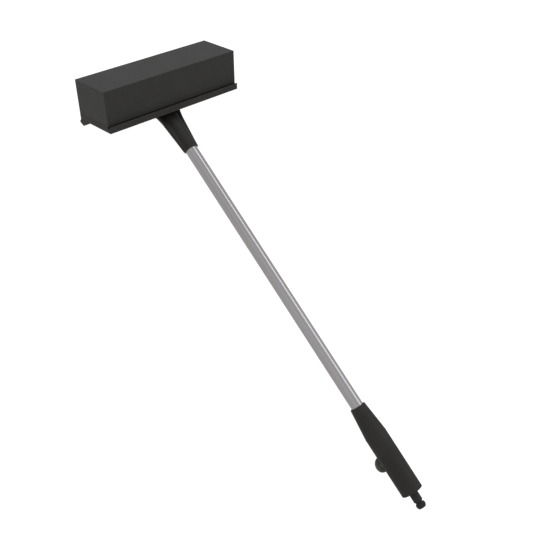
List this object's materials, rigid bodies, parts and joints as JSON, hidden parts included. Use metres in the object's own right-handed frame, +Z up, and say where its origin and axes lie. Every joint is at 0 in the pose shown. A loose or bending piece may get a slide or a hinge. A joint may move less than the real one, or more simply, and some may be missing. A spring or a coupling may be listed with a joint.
{
  "type": "window washing squeegee",
  "caption": "Water-fed window washer: black sponge block and rubber blade on a plate, tube handle, grip with shut-off valve knob and hose nipple.",
  "frame": {"origin": "middle of the base of the bounding box, on the plane that the tool rests on", "axes": "+X along the head, +Y from the hose end towards the head along the tube, +Z up, away from the resting plane"},
  "size_m": [0.3, 0.9776, 0.1232],
  "materials": {
    "black_plastic": "moulded, semi-matt",
    "black_foam": "fine open foam",
    "grey_plastic": "moulded",
    "black_rubber": "matt",
    "white_seat_plastic": "smooth",
    "tube_aluminium": "satin, drawn along its length",
    "valve_brass": "machined",
    "screw_steel": "bright plated"
  },
  "bodies": {
    "washer": {"sponge_block": "black_foam", "block_backing": "grey_plastic", "head_plate": "black_plastic", "channel_cover": "grey_plastic", "channel_gasket": "black_rubber", "blade_rail": "black_plastic", "squeegee_blade": "black_rubber", "rail_end_clip_left": "black_plastic", "rail_end_clip_right": "black_plastic", "neck": "black_plastic", "neck_face_seal": "black_rubber", "pole_tube": "tube_aluminium", "tube_washer": "black_rubber", "grip": "black_plastic", "grip_end_cap": "black_plastic", "valve_body": "grey_plastic", "tube_seal": "black_rubber", "valve_seat_front": "white_seat_plastic", "valve_seat_rear": "white_seat_plastic", "spindle_seal": "black_rubber", "gland_nut": "valve_brass", "valve_retainer": "grey_plastic", "retainer_seal": "black_rubber", "hose_nipple": "black_plastic", "nipple_seal": "black_rubber", "nipple_washer": "black_rubber", "block_screw_1": "screw_steel", "block_screw_2": "screw_steel", "block_screw_3": "screw_steel", "block_screw_4": "screw_steel", "cover_screw_1": "screw_steel", "cover_screw_2": "screw_steel", "cover_screw_3": "screw_steel", "cover_screw_4": "screw_steel", "cover_screw_5": "screw_steel", "cover_screw_6": "screw_steel", "cover_screw_7": "screw_steel", "cover_screw_8": "screw_steel", "neck_screw_1": "screw_steel", "neck_screw_2": "screw_steel", "neck_screw_3": "screw_steel", "neck_screw_4": "screw_steel", "rail_screw_1": "screw_steel", "rail_screw_2": "screw_steel", "rail_screw_3": "screw_steel", "rail_screw_4": "screw_steel", "rail_screw_5": "screw_steel", "neck_tube_screw": "screw_steel", "grip_screw_front": "screw_steel", "grip_screw_rear": "screw_steel"},
    "valve_rotor": {"valve_knob": "black_plastic", "knob_screw": "screw_steel", "valve_spindle": "valve_brass", "valve_ball": "valve_brass"}
  },
  "joints": [
    {"name": "valve_turn", "type": "hinge", "parent": "washer", "child": "valve_rotor", "pos_m": [0, -0.39082, 0.03765], "axis": [0, 0, 1], "range_deg": [0, 90]}
  ]
}
